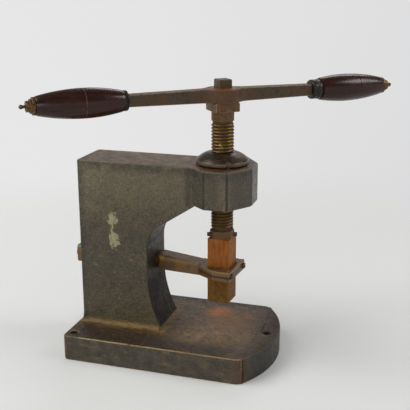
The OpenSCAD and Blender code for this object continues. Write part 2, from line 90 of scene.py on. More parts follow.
class Finish:
    """A material under work: the surface's own coordinates, and the steps that build its colour."""

    def __init__(self, name):
        self.material = bpy.data.materials.new(name)
        self.material.use_nodes = True
        self.tree = self.material.node_tree
        self.shader = self.tree.nodes["Principled BSDF"]
        self.place = put(self.tree, "TexCoord").outputs["Object"]

    def stretched(self, stretch, place=None):
        """The coordinates scaled for a grain: a small number draws the blotches out that way."""
        return put(self.tree, "Mapping", {0: place or self.place, 3: stretch}).outputs[0]

    def along_the_lever(self):
        """The coordinates turned about the screw axis, with X along the lever."""
        return put(self.tree, "Mapping", {0: self.place, 2: (0, 0, -LEVER_TURN)}).outputs[0]

    def speckle(self, size_mm, low, high, detail=3.0, rough=0.55, place=None, twist=0.0):
        """A cloudy mask from 0 to 1, with blotches of about that size in millimetres."""
        noise = put(self.tree, "TexNoise", {"Vector": place or self.place, "Scale": 1 / (size_mm * MM),
                                            "Detail": detail, "Roughness": rough, "Distortion": twist})
        return self.ramp(noise.outputs["Fac"], low, high)

    def ramp(self, value, start, end, to_start=0.0, to_end=1.0):
        """An eased change from one value to another while the input goes from start to end."""
        return put(self.tree, "MapRange", {0: value, 1: start, 2: end, 3: to_start, 4: to_end},
                   interpolation_type="SMOOTHSTEP").outputs[0]

    def math(self, how, first, second):
        """One sum on masks, held between 0 and 1."""
        return put(self.tree, "Math", {0: first, 1: second}, operation=how, use_clamp=True).outputs[0]

    def over(self, under, colour, mask):
        """Lays a colour, or another mix, over the one below through a mask."""
        colour = srgb(colour) if isinstance(colour, str) else colour
        under = srgb(under) if isinstance(under, str) else under
        return put(self.tree, "Mix", {0: mask, 6: under, 7: colour}, data_type="RGBA").outputs[2]

    def axis(self, name):
        return put(self.tree, "SeparateXYZ", {0: self.place}).outputs[name]

    def beside(self):
        """The distance from the middle plane of the press."""
        return put(self.tree, "Math", {0: self.axis("Y")}, operation="ABSOLUTE").outputs[0]

    def from_screw_axis(self):
        flat = put(self.tree, "VectorMath", {0: self.place, 1: (1, 1, 0)}, operation="MULTIPLY").outputs[0]
        return put(self.tree, "VectorMath", {0: flat}, operation="LENGTH").outputs["Value"]

    def near(self, centre_mm, inner_mm, outer_mm, stretch=(1, 1, 1)):
        """1 near a spot and 0 away from it."""
        spot = tuple(c * MM * s for c, s in zip(centre_mm, stretch))
        moved = put(self.tree, "VectorMath", {0: self.place, 1: stretch}, operation="MULTIPLY").outputs[0]
        away = put(self.tree, "VectorMath", {0: moved, 1: spot}, operation="DISTANCE").outputs["Value"]
        return self.ramp(away, inner_mm * MM, outer_mm * MM, 1.0, 0.0)

    def facing_up(self):
        normal = put(self.tree, "NewGeometry").outputs["True Normal"]
        return self.ramp(put(self.tree, "SeparateXYZ", {0: normal}).outputs["Z"], 0.5, 0.9)

    def edge_wear(self):
        """The marks that the rounding of an edge left on the mesh."""
        return put(self.tree, "Attribute", attribute_name="edge_wear").outputs["Fac"]

    def corner_painted_shade(self):
        """The same marks on the upright corners, for a dark line of painted shade."""
        return put(self.tree, "Attribute", attribute_name="corner_painted_shade").outputs["Fac"]

    def relief(self, *layers):
        """Bumps, each (height mask, depth in mm, share)."""
        below = None
        for height, depth_mm, share in layers:
            sockets = {"Height": height, "Distance": depth_mm * MM, "Strength": share}
            if below is not None:
                sockets["Normal"] = below
            below = put(self.tree, "Bump", sockets).outputs[0]
        self.tree.links.new(below, self.shader.inputs["Normal"])

    def done(self, colour, roughness, metallic=0.0, **own):
        """Sets the shader's sockets, named with _ for a blank, and gives the material back."""
        sockets = {"Base Color": colour, "Roughness": roughness, "Metallic": metallic, **own}
        for name, value in sockets.items():
            name = name.replace("_", " ")
            if isinstance(value, str):
                value = srgb(value)
            if isinstance(value, bpy.types.NodeSocket):
                self.tree.links.new(value, self.shader.inputs[name])
            else:
                self.shader.inputs[name].default_value = value
        return self.material


def foot_of_column(f):
    """1 along the foot of the column and of its front flare, fading out over the base."""
    beside = f.math("SUBTRACT", f.beside(), COLUMN_SIDE)
    ahead = f.math("SUBTRACT", f.axis("X"), FLARE_FOOT)
    behind = f.math("SUBTRACT", COLUMN_BACK, f.axis("X"))
    away = put(f.tree, "CombineXYZ", {"X": f.math("ADD", ahead, behind), "Y": beside}).outputs[0]
    away = put(f.tree, "VectorMath", {0: away}, operation="LENGTH").outputs["Value"]
    away = f.math("ADD", away, f.ramp(f.speckle(9, 0.3, 0.7), 0, 1, -0.001, 0.003))
    close = f.ramp(away, 0.0085, 0.001)
    return f.math("MULTIPLY", close, f.ramp(f.axis("Z"), BASE_TOP + 8 * MM, BASE_TOP + 3.5 * MM))


def chip_of_old_paint(f):
    """1 where the enamel flaked off the near side of the column: a solid upper patch, a narrow
    waist and a ragged lower patch."""
    patch = f.math("MAXIMUM", f.near((-122, -29.5, 162), -3, 14, (1.15, 1, 0.9)),
                   f.near((-120.5, -29.5, 136), -4, 22, (1.65, 1, 0.95)))
    patch = f.math("MAXIMUM", patch, f.near((-121.5, -29.5, 151), -2, 10, (3.0, 1, 0.9)))
    ragged = f.speckle(7, 0.36, 0.64, 6, 0.78, twist=0.6)
    return f.ramp(f.math("SUBTRACT", patch, f.math("MULTIPLY", ragged, 0.66)), 0.15, 0.21)


def base_top_colour(f):
    """Dust and thin rust on the base: dark along its rims, scoured paler under the ram."""
    colour = f.over("#422f18", "#614928", f.speckle(15, 0.35, 0.65, 5, 0.62))
    scoured = f.math("MULTIPLY", f.near((2, 4, 30), 22, 74), f.speckle(20, 0.25, 0.6, 4))
    colour = f.over(colour, "#725430", f.math("MULTIPLY", scoured, 0.8))
    dusty = f.math("MULTIPLY", f.near((-14, -22, 30), 8, 42), f.speckle(7, 0.45, 0.75, 5))
    colour = f.over(colour, "#846e48", dusty)
    colour = f.over(colour, "#302211", f.math("MULTIPLY", f.speckle(4, 0.50, 0.66, 5), 0.8))
    colour = f.over(colour, "#8f6837", f.math("MULTIPLY", f.speckle(2.6, 0.56, 0.68, 5), 0.65))
    front_rim = f.ramp(f.axis("X"), 0.028, 0.062)
    near_rim = f.ramp(f.axis("Y"), -0.044, -0.060)
    far_rim = f.ramp(f.axis("Y"), 0.055, 0.072)
    rim = f.math("MAXIMUM", f.math("MAXIMUM", front_rim, near_rim), far_rim)
    colour = f.over(colour, "#2a1e0f", f.math("MULTIPLY", rim, f.speckle(22, 0.15, 0.55, 3)))
    beside_column = f.ramp(f.axis("Y"), -0.034, -0.046)
    shade = f.math("MULTIPLY", beside_column, f.ramp(f.axis("X"), -0.020, -0.070))
    colour = f.over(colour, "#2e2010", f.math("MULTIPLY", shade, 0.85))
    colour = f.over(colour, "#866024", f.math("MULTIPLY", shade, f.speckle(3.5, 0.60, 0.72, 4)))
    for spot, inner, outer, rust in (((-14, 40, 30), 6, 22, "#b86a1c"), ((22, 36, 30), 2, 9, "#8f501d"),
                                     ((6, 18, 30), 6, 36, "#7d5328"), ((-20, -46, 30), 1, 6, "#764015")):
        mask = f.math("MULTIPLY", f.near(spot, inner, outer), f.speckle(5, 0.32, 0.62, 4))
        colour = f.over(colour, rust, mask)
    return colour


def arm_top_colour(f):
    """Bare brown iron on top of the arm, wiped in long pale streaks, with rust round the nut and a painted
    shadow ring just under its rim.
    """
    colour = f.over("#41301d", "#684f34", f.speckle(9, 0.36, 0.64, 5))
    wiped = f.speckle(4, 0.50, 0.70, 5, place=f.stretched((0.3, 1, 1)))
    colour = f.over(colour, "#8d7554", f.math("MULTIPLY", wiped, 0.5))
    ring = f.math("MULTIPLY", f.near((0, 0, 227), 33, 44), f.ramp(f.speckle(5, 0.3, 0.7), 0, 1, 0.6, 1.0))
    colour = f.over(colour, "#572f11", ring)
    # Painted shadow: a near-black ring just under the rim of the nut
    return f.over(colour, "#160e07", f.near((0, 0, 227), 28, 31))


def brushed_enamel_on_cast_iron():
    """Oil enamel, brushed on a sand casting: a half gloss dark olive brown with the casting's grain under it,
    rust and dust on the flat tops, and bare brown iron along the handled edges. It also carries painted light
    and shade: a height gradient on the column, shade on the boss, the throat, the front of the base and the
    upright corners, and a shadow ring under the nut."""
    f = Finish("brushed_enamel_on_cast_iron")
    height = f.axis("Z")
    along = f.axis("X")
    grain = f.speckle(2.4, 0.32, 0.68, 4, 0.65)
    enamel = f.over("#3e3828", "#564f38", f.speckle(17, 0.35, 0.65, 4))
    enamel = f.over(enamel, "#282419", f.speckle(3.6, 0.46, 0.64, 5, 0.65))
    enamel = f.over(enamel, "#857c58", f.math("MULTIPLY", grain, 0.5))
    enamel = f.over(enamel, "#453925", f.math("MULTIPLY", f.speckle(60, 0.35, 0.65, 3), 0.4))
    # Painted light and shade: darker from the upper column downwards, lighter again near the base, and
    # painted light high on the column
    enamel = f.over(enamel, "#2b271b", f.math("MULTIPLY", f.ramp(height, 0.195, 0.130), 0.45))
    enamel = f.over(enamel, "#6a6046", f.math("MULTIPLY", f.ramp(height, 0.095, 0.045), 0.22))
    enamel = f.over(enamel, "#7a725a", f.math("MULTIPLY", f.ramp(height, 0.165, 0.205), 0.28))
    # The sides of the base: darker, with long scuffs down to a dull olive, and painted shade towards their
    # front end
    scuffs = f.speckle(5, 0.50, 0.72, 5, place=f.stretched((0.35, 0.35, 1)))
    side = f.over("#373125", "#4a4332", f.speckle(12, 0.35, 0.65, 4))
    side = f.over(side, "#6e6342", f.math("MULTIPLY", scuffs, 0.55))
    # Painted shade: the front end of the base's sides is darker, turned from the light
    side = f.over(side, "#28241d", f.ramp(along, 0.036, 0.060))
    side = f.over(enamel, side, f.ramp(height, BASE_TOP + 1.2 * MM, BASE_TOP - 0.5 * MM))
    upward = f.facing_up()
    sideways = f.math("SUBTRACT", 1.0, upward)
    upper = f.over(base_top_colour(f), arm_top_colour(f), f.ramp(height, 0.15, 0.2))
    colour = f.over(side, upper, upward)
    colour = f.over(colour, "#7d6131", f.math("MULTIPLY", foot_of_column(f), f.speckle(7, 0.15, 0.55)))
    # A darker border along the top and the back of the column's sides, where the brush left more
    border = f.math("MAXIMUM", f.ramp(height, 0.2135, 0.2215), f.ramp(along, -0.152, -0.1615))
    border = f.math("MULTIPLY", border, sideways)
    border = f.math("MULTIPLY", border, f.speckle(9, 0.2, 0.7, 4))
    colour = f.over(colour, "#2b271c", f.math("MULTIPLY", border, 0.7))
    # Painted shade on the sides of the boss: darker than the column
    boss = f.math("MULTIPLY", f.ramp(f.from_screw_axis(), 0.047, 0.043), f.ramp(height, 0.178, 0.186))
    boss = f.math("MULTIPLY", boss, sideways)
    colour = f.over(colour, "#26221a", f.math("MULTIPLY", boss, 0.6))
    # The throat: darker, partly painted shade on a face turned from the light, and rubbed to a gloss by the
    # work that slid in
    inner = f.ramp(f.beside(), COLUMN_SIDE - 0.3 * MM, COLUMN_SIDE - 1.1 * MM)
    throat = f.math("MULTIPLY", inner, f.ramp(along, -0.0812, -0.0800))
    throat = f.math("MULTIPLY", throat, f.ramp(height, 0.186, 0.183))
    throat = f.math("MULTIPLY", throat, f.ramp(height, BASE_TOP + 1.5 * MM, BASE_TOP + 4 * MM))
    streaks = f.speckle(6, 0.45, 0.75, 5, place=f.stretched((1, 1, 0.4)))
    colour = f.over(colour, f.over("#1d1811", "#3a3226", streaks), throat)
    # A pale chip of old paint, and a few pale nicks below it
    chip = chip_of_old_paint(f)
    colour = f.over(colour, "#98926a", chip)
    nicks = f.math("MULTIPLY", f.speckle(2.6, 0.775, 0.80, 1), f.ramp(height, 0.13, 0.05))
    for x, z in ((-100, 113), (-121, 96), (-144, 103), (-116, 64)):
        nicks = f.math("MAXIMUM", nicks, f.near((x, -29.5, z), 0.3, 0.9))
    colour = f.over(colour, "#a9a17a", nicks)
    # Upright corners get a dark line of painted shade, and level edges are rubbed through to tan and brown
    colour = f.over(colour, "#18140d", f.math("MULTIPLY", f.corner_painted_shade(), 0.8))
    rubbed = f.math("MULTIPLY", f.edge_wear(), f.speckle(8, 0.30, 0.56, 5))
    tan = f.over("#a08959", "#94774a", f.ramp(along, -0.12, 0.03))
    tan = f.over(tan, "#765133", f.ramp(height, 0.016, 0.010))
    tan = f.over(tan, "#8b7d56", f.ramp(height, 0.20, 0.22))
    base_edge = f.ramp(height, BASE_TOP + 1.5 * MM, BASE_TOP + 0.5 * MM)
    arm_edge = f.ramp(height, ARM_TOP - 3.5 * MM, ARM_TOP - 2.5 * MM, 0.0, 0.35)
    level = f.math("MAXIMUM", f.math("MAXIMUM", base_edge, arm_edge), 0.12)
    level = f.math("MULTIPLY", level, f.ramp(along, 0.052, 0.040, 0.1, 1.0))
    colour = f.over(colour, tan, f.math("MULTIPLY", rubbed, level))
    front_corner = f.math("MULTIPLY", f.near((41, -75, 12), 5, 22, (1, 1, 0.6)), f.speckle(6, 0.3, 0.6))
    rear_corner = f.math("MULTIPLY", f.near((-168, -75, 15), 3, 10, (1, 1, 0.4)), f.speckle(5, 0.3, 0.6))
    rusty = f.math("MULTIPLY", f.math("MAXIMUM", front_corner, rear_corner), 0.7)
    colour = f.over(colour, "#56361b", rusty)
    rough = f.ramp(f.speckle(5, 0.3, 0.7, 4), 0, 1, 0.20, 0.38)
    rough = f.math("ADD", rough, f.math("MULTIPLY", upward, 0.16))
    dull = f.math("MULTIPLY", throat, f.ramp(height, 0.150, 0.105, 0.1, 0.45))
    rough = f.math("ADD", rough, f.math("MAXIMUM", dull, f.ramp(along, 0.036, 0.060, 0.0, 0.2)))
    brush_waves = f.speckle(13, 0.2, 0.8, 2)
    sand_grain = f.speckle(2.0, 0.2, 0.8, 5, 0.65)
    f.relief((brush_waves, 1.3, 0.7), (sand_grain, 0.7, 0.9), (chip, -0.2, 0.6))
    return f.done(colour, rough, Specular_IOR_Level=0.45)


def rusted_iron(name, base, dark, rust, rust_size, shine=0.3, rough=(0.42, 0.62), wear="#8d8262"):
    """Bare iron gone brown: a thin even rust, darker pits, and rubbed brighter edges. It gives the
    material under work, its colour, its roughness and its metallic share."""
    f = Finish(name)
    colour = f.over(base, dark, f.speckle(2.5, 0.45, 0.7, 5))
    colour = f.over(colour, rust, f.speckle(rust_size, 0.42, 0.68, 5))
    rubbed = f.math("MULTIPLY", f.edge_wear(), f.speckle(4, 0.25, 0.6, 3))
    colour = f.over(colour, wear, f.math("MULTIPLY", rubbed, 0.7))
    spread = f.ramp(f.speckle(3, 0.3, 0.7), 0, 1, rough[0], rough[1])
    f.relief((f.speckle(1.2, 0.2, 0.8, 3), 0.10, 0.6), (f.speckle(6, 0.2, 0.8, 2), 0.3, 0.4))
    return f, colour, spread, shine


def cut_screw_steel():
    """Lathe-cut screw steel, oiled and browned: the thread's crests are rubbed to a yellow shine,
    and old rust sits at its root and on the neck."""
    f, colour, spread, shine = rusted_iron("cut_screw_steel", "#5f4524", "#31210e", "#6e451d", 4, 0.35)
    radius = f.from_screw_axis()
    on_thread = f.ramp(f.axis("Z"), NECK_FOOT + 0.5 * MM, NECK_FOOT - 1.5 * MM)
    crest = f.math("MULTIPLY", f.ramp(radius, 0.0116, 0.01255), on_thread)
    root = f.math("MULTIPLY", f.ramp(radius, 0.0122, 0.0114), on_thread)
    colour = f.over(colour, "#36230e", f.math("MULTIPLY", root, 0.8))
    worn_side = f.speckle(14, 0.35, 0.65, 3)
    rubbed = f.math("ADD", f.math("MULTIPLY", worn_side, 0.5), 0.3)
    colour = f.over(colour, "#816a31", f.math("MULTIPLY", crest, rubbed))
    nicked = f.math("MULTIPLY", f.near((2, -12, 249), 1, 5), f.speckle(1.4, 0.45, 0.6, 2))
    colour = f.over(colour, "#b59a56", nicked)
    shiny = f.math("ADD", f.math("MULTIPLY", crest, 0.35), shine)
    smooth = f.math("SUBTRACT", spread, f.math("MULTIPLY", crest, 0.12))
    tang = f.ramp(f.axis("Z"), 0.3095, 0.3125)
    colour = f.over(colour, "#3f311d", f.math("MULTIPLY", tang, 0.75))
    return f.done(colour, smooth, shiny)


def forged_lever_steel():
    """Forged bar, browned by hands: grey brown along the arms, orange rust round the hub."""
    f, colour, spread, shine = rusted_iron("forged_lever_steel", "#463826", "#2d2318", "#4c351e", 9)
    radius = f.from_screw_axis()
    hub = f.math("MULTIPLY", f.ramp(radius, 0.040, 0.016), f.speckle(6, 0.25, 0.6))
    colour = f.over(colour, "#573418", f.math("MULTIPLY", hub, 0.75))
    bright = f.math("MULTIPLY", f.ramp(radius, 0.0165, 0.0105), f.facing_up())
    colour = f.over(colour, "#934e1a", f.math("MULTIPLY", bright, f.speckle(4, 0.2, 0.6)))
    return f.done(colour, spread, shine)


def ground_ram_steel():
    """Ground square bar under an even orange rust, rubbed to olive brown lower down, with its cut
    neck still dark and greenish."""
    f, colour, spread, shine = rusted_iron("ground_ram_steel", "#6b491b", "#4b3311", "#77541f", 7,
                                           shine=0.12, rough=(0.5, 0.7), wear="#8c6e2c")
    streaks = f.speckle(3, 0.35, 0.65, 4, place=f.stretched((1, 1, 0.12)))
    neck = f.ramp(f.axis("Z"), RAM_SHOULDER - 0.5 * MM, RAM_SHOULDER + 0.5 * MM)
    upper = f.math("MULTIPLY", f.ramp(f.axis("Z"), 0.080, 0.118), f.math("SUBTRACT", 1.0, neck))
    orange = f.math("ADD", f.speckle(8, 0.25, 0.6), 0.45)
    colour = f.over(colour, "#985922", f.math("MULTIPLY", upper, orange))
    colour = f.over(colour, "#532e0e", f.math("MULTIPLY", streaks, 0.4))
    colour = f.over(colour, "#5c4830", f.math("MULTIPLY", neck, 0.8))
    return f.done(colour, spread, shine, Specular_IOR_Level=0.2)


def forged_guide_steel():
    """Forged bar of the guide: brown oxide, olive where a hand rubbed its upper side, and one
    painted highlight, a bright brassy spot by the column."""
    f, colour, spread, shine = rusted_iron("forged_guide_steel", "#5d4629", "#3f2d19", "#6e4a25", 6,
                                           rough=(0.38, 0.55))
    sides = f.math("SUBTRACT", 1.0, f.facing_up())
    colour = f.over(colour, "#71512c", f.math("MULTIPLY", sides, f.speckle(12, 0.3, 0.7)))
    upper = f.math("MULTIPLY", sides, f.ramp(f.axis("Z"), 0.1045, 0.1085))
    colour = f.over(colour, "#8b7345", f.math("MULTIPLY", upper, 0.55))
    seam = f.math("MULTIPLY", f.ramp(f.axis("Z"), 0.1003, 0.1018), f.ramp(f.axis("Z"), 0.1040, 0.1025))
    at_the_fork = f.ramp(f.axis("X"), -0.028, -0.020)
    dark_seam = f.math("MULTIPLY", f.math("MULTIPLY", seam, sides), at_the_fork)
    colour = f.over(colour, "#2c1f11", f.math("MULTIPLY", dark_seam, f.speckle(9, 0.2, 0.5)))
    # A painted highlight: a small bright brassy spot on the bar's rounded end by the column
    colour = f.over(colour, "#b58a40", f.math("MULTIPLY", f.near((-72, -5, 110), 1, 5), 0.8))
    return f.done(colour, spread, shine)


def turned_nut_iron():
    """Turned iron of the nut's dome: nearly black brown, with a painted highlight along its worn rim and a
    half gloss.
    """
    f, colour, spread, shine = rusted_iron("turned_nut_iron", "#2f241a", "#1c150f", "#402c1d", 5,
                                           shine=0.35, rough=(0.26, 0.42), wear="#7b6c4f")
    pale = f.math("MULTIPLY", f.speckle(5, 0.52, 0.72, 5), 0.4)
    colour = f.over(colour, "#5c4f41", pale)
    # A painted highlight along the lower edge of the rim, broken up like wear
    outermost = f.ramp(f.from_screw_axis(), 0.0283, 0.0292)
    rim = f.math("MULTIPLY", outermost, f.ramp(f.axis("Z"), 0.2335, 0.2300))
    colour = f.over(colour, "#6c5d43", f.math("MULTIPLY", rim, f.speckle(9, 0.2, 0.55)))
    return f.done(colour, spread, shine)


def blackened_small_steel():
    """Blackened steel of the pins, screws and washer, browned by rust."""
    f, colour, spread, shine = rusted_iron("blackened_small_steel", "#43301c", "#2a1d11", "#6b421f", 2.5)
    return f.done(colour, spread, shine)


def lacquered_rosewood():
    """Turned rosewood under an old clear lacquer: nearly black red, with fine grain along the grip
    and a soft shine where the light falls."""
    f = Finish("lacquered_rosewood")
    grain_place = f.stretched((0.06, 1, 1), f.along_the_lever())
    colour = f.over("#23100b", "#3a150b", f.speckle(2.2, 0.35, 0.68, 5, place=grain_place))
    colour = f.over(colour, "#0f0605", f.speckle(1.1, 0.5, 0.72, 4, place=grain_place))
    redder = f.speckle(9, 0.5, 0.75, 2, place=grain_place)
    colour = f.over(colour, "#3c1812", f.math("MULTIPLY", redder, 0.4))
    pale_chips = f.math("MULTIPLY", f.edge_wear(), f.speckle(1.6, 0.35, 0.55, 2))
    colour = f.over(colour, "#7c584a", pale_chips)
    pores = f.speckle(1.4, 0.3, 0.7, 3, place=grain_place)
    lathe_waves = f.speckle(12, 0.2, 0.8, 2)
    f.relief((pores, 0.05, 0.4), (lathe_waves, 0.25, 0.4))
    scuffs = f.ramp(f.speckle(14, 0.4, 0.7), 0, 1, 0.24, 0.38)
    return f.done(colour, scuffs, 0.0, Specular_IOR_Level=0.2, Coat_Weight=0.25, Coat_Roughness=0.16)


def black_horn():
    """Turned horn ring at the mouth of a grip."""
    f = Finish("black_horn")
    colour = f.over("#1a1410", "#2b231d", f.speckle(3, 0.4, 0.65, 4))
    f.relief((f.speckle(0.8, 0.3, 0.7, 2), 0.04, 0.4))
    return f.done(colour, f.ramp(f.speckle(4, 0.3, 0.7), 0, 1, 0.28, 0.45), 0.0, Specular_IOR_Level=0.3)


def tarnished_brass():
    """Turned brass gone brown: dull gold on the rims and dark in the steps."""
    f = Finish("tarnished_brass")
    colour = f.over("#6d5433", "#45331f", f.speckle(2.2, 0.4, 0.65, 5))
    colour = f.over(colour, "#8d7142", f.math("MULTIPLY", f.edge_wear(), 0.8))
    f.relief((f.speckle(0.8, 0.3, 0.7, 2), 0.05, 0.4))
    return f.done(colour, f.ramp(f.speckle(2, 0.3, 0.7), 0, 1, 0.32, 0.5), 0.75)


ENAMEL = brushed_enamel_on_cast_iron()
SCREW = cut_screw_steel()
LEVER = forged_lever_steel()
RAM = ground_ram_steel()
GUIDE = forged_guide_steel()
NUT = turned_nut_iron()
SMALL = blackened_small_steel()
WOOD = lacquered_rosewood()
HORN = black_horn()
BRASS = tarnished_brass()


# ---------------------------------------------------------------- making pieces
def finish_piece(name, bm, material, body, nodes=()):
    """Turns a bmesh into a piece of the press that rides on a body and stands for its nodes."""
    mesh = bpy.data.meshes.new(name)
    bm.to_mesh(mesh)
    bm.free()
    piece = bpy.data.objects.new(name, mesh)
    bpy.context.scene.collection.objects.link(piece)
    mesh.materials.append(material)
    mesh.shade_smooth()
    mesh.set_sharp_from_angle(angle=math.radians(40))
    flat = piece.modifiers.new("flat_faces_stay_flat", "WEIGHTED_NORMAL")
    flat.keep_sharp = True
    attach(piece, body)
    if nodes:
        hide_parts(*nodes)


def welded(node):
    """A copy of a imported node, with its triangles joined and its flat faces whole again."""
    bm = bmesh.new()
    bm.from_mesh(cad[node].data)
    for layer in list(bm.loops.layers.uv):
        bm.loops.layers.uv.remove(layer)
    bmesh.ops.remove_doubles(bm, verts=bm.verts, dist=0.002 * MM)
    bmesh.ops.dissolve_limit(bm, angle_limit=math.radians(0.6), verts=bm.verts, edges=bm.edges)
    return bm


def round_edges(bm, width_mm, pick=lambda edge: True, steepest=30, segments=3, mark="edge_wear"):
    """Rounds the sharp edges that pick() allows, and marks the rounding as worn, or as an upright corner for
    painted shade.
    """
    layer = bm.verts.layers.float.get(mark) or bm.verts.layers.float.new(mark)
    limit = math.radians(steepest)
    sharp = [e for e in bm.edges if len(e.link_faces) == 2 and e.calc_face_angle(0) > limit and pick(e)]
    made = bmesh.ops.bevel(bm, geom=sharp, offset=width_mm * MM, offset_type="OFFSET", segments=segments,
                           profile=0.5, affect="EDGES", material=-1, clamp_overlap=False, loop_slide=True)
    rounded = set(made["faces"])
    # The two ends of an upright corner lie on a flat top and a flat foot, and get the painted shade as well
    most_flat = 1 if mark == "corner_painted_shade" else 0
    for vert in {v for face in rounded for v in face.verts}:
        flat_faces = sum(face not in rounded for face in vert.link_faces)
        if flat_faces <= most_flat and len(vert.link_faces) > 2:
            vert[layer] = 1.0


def worn_copy(node, body, material, width_mm, pick=lambda edge: True):
    """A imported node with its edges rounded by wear."""
    bm = welded(node)
    round_edges(bm, width_mm, pick)
    finish_piece(node + "_worn", bm, material, body, [node])


def middle(edge):
    return (edge.verts[0].co + edge.verts[1].co) / 2


def mm_from_axis(edge):
    """How far the middle of an edge lies from the screw axis, in mm."""
    return Vector(middle(edge)[:2]).length / MM


def on_the_lever(bm, side):
    """Moves a piece drawn along +X from the screw axis to its arm of the lever."""
    turn = LEVER_TURN + (math.pi if side == "left" else 0)
    bm.transform(Matrix.Translation((0, 0, LEVER_MID)) @ Matrix.Rotation(turn, 4, "Z"))
    return bm


def turned(outline, bore_mm, side):
    """A lathe-turned ring on the lever: outline holds (distance from the screw axis, radius) in mm."""
    bm = bmesh.new()
    bm.verts.layers.float.new("edge_wear")
    ring = list(outline) + [(outline[-1][0], bore_mm), (outline[0][0], bore_mm)]
    verts = [bm.verts.new((d * MM, 0, r * MM)) for d, r in ring]
    edges = [bm.edges.new((verts[i - 1], verts[i])) for i in range(len(verts))]
    bmesh.ops.spin(bm, geom=verts + edges, cent=(0, 0, 0), axis=(1, 0, 0), angle=math.tau,
                   steps=72, use_merge=True)
    bmesh.ops.recalc_face_normals(bm, faces=bm.faces)
    return on_the_lever(bm, side)


# ---------------------------------------------------------------- frame
def upright(edge):
    along = (edge.verts[1].co - edge.verts[0].co).normalized()
    return abs(along.z) > 0.99


def base_front_corner(edge):
    spot = middle(edge)
    return upright(edge) and spot.z < BASE_TOP + 1 * MM and spot.x > 0.03 and abs(spot.y) > 0.07


def outer_corner(edge):
    """The upright corners of the boss, the column and the back of the base."""
    spot = middle(edge)
    on_boss = spot.x > -0.02 and mm_from_axis(edge) > 35
    on_column = spot.x < -0.16 and edge.calc_length() > 0.05
    return upright(edge) and (on_boss or on_column)


def away_from_foot_fillet(edge):
    """The fillet's own thin ends stay as they were cast."""
    spot = middle(edge) / MM
    return not (spot.z < 36 and 26 < abs(spot.y) < 37 and spot.x < -60)


casting = welded("frame_casting")
round_edges(casting, 6.0, base_front_corner, segments=6, mark="round_corner")
# The upright corners are marked for a dark line of painted shade
round_edges(casting, 2.2, outer_corner, segments=4, mark="corner_painted_shade")
round_edges(casting, 1.5, away_from_foot_fillet)
finish_piece("frame_casting_worn", casting, ENAMEL, "frame", ["frame_casting"])
worn_copy("screw_nut", "frame", NUT, 0.7, lambda e: mm_from_axis(e) > 22)
worn_copy("nut_locking_pin", "frame", SMALL, 0.3)
worn_copy("guide_fork", "frame", GUIDE, 0.8, lambda e: middle(e).x > -0.079)
worn_copy("keeper_plate", "frame", GUIDE, 0.6)
worn_copy("keeper_screws", "frame", SMALL, 0.4)
worn_copy("rear_washer", "frame", SMALL, 0.5)
worn_copy("rear_nut", "frame", GUIDE, 0.8)


# ---------------------------------------------------------------- ram
def clear_of_pins_and_bore(edge):
    """The edges of the ram away from its bore and from the two pin holes."""
    spot = middle(edge)
    pin_way = Matrix.Rotation(math.radians(-17), 3, "Z") @ spot
    near_pin = abs(pin_way.y) < 4 * MM and spot.z > RAM_SHOULDER - 0.3 * MM
    return mm_from_axis(edge) > 9 and not near_pin


worn_copy("ram", "ram", RAM, 0.6, clear_of_pins_and_bore)
worn_copy("retaining_pins", "ram", SMALL, 0.5, lambda e: mm_from_axis(e) > 14)


# ---------------------------------------------------------------- screw and lever
def helical_thread(root, crest, foot, turns):
    """A toothed line spun once about the screw axis while it climbs one pitch joins up with itself."""
    steps = 64
    tooth_outline = ((0, 0.08), (0.45, 0.24), (0.88, 0.38), (1, 0.5), (0.88, 0.62), (0.45, 0.76), (0, 0.92))
    bm = bmesh.new()
    line = []
    for tooth in range(turns + 1):
        for rise, share in tooth_outline:
            radius = root + rise * (crest - root)
            line.append(bm.verts.new((radius, 0, foot + PITCH * (tooth + share))))
    edges = [bm.edges.new(pair) for pair in zip(line, line[1:])]
    bmesh.ops.spin(bm, geom=line + edges, cent=(0, 0, 0), axis=(0, 0, 1), dvec=(0, 0, PITCH / steps),
                   angle=math.tau, steps=steps, use_merge=False)
    bmesh.ops.remove_doubles(bm, verts=bm.verts, dist=0.01 * MM)
    bmesh.ops.holes_fill(bm, edges=[e for e in bm.edges if e.is_boundary], sides=0)
    bmesh.ops.recalc_face_normals(bm, faces=bm.faces)
    return bm


def plain_screw_parts():
    """The neck, collar, tang and spigot of the screw, without its thread."""
    bm = bmesh.new()
    for d_mm, low, high in ((25.0, NECK_FOOT, 286 * MM), (22.4, THREAD_FOOT, NECK_FOOT + 1 * MM),
                            (15.0, THREAD_FOOT - 34.1 * MM, THREAD_FOOT + 1 * MM)):
        made = bmesh.ops.create_cone(bm, cap_ends=True, segments=72, radius1=d_mm / 2 * MM,
                                     radius2=d_mm / 2 * MM, depth=high - low)
        bmesh.ops.translate(bm, verts=made["verts"], vec=(0, 0, (low + high) / 2))
    for w_mm, low, high in ((28.4, 285.5, 295.45), (15.3, 294.5, 320.0)):
        made = bmesh.ops.create_cube(bm, size=1)
        size = Matrix.Diagonal((w_mm * MM, w_mm * MM, (high - low) * MM, 1))
        spot = Matrix.Translation((0, 0, (low + high) / 2 * MM))
        bmesh.ops.transform(bm, matrix=Matrix.Rotation(LEVER_TURN, 4, "Z") @ spot @ size, verts=made["verts"])
    round_edges(bm, 1.2, lambda e: middle(e).z > NECK_FOOT + 1 * MM, 60)
    return bm


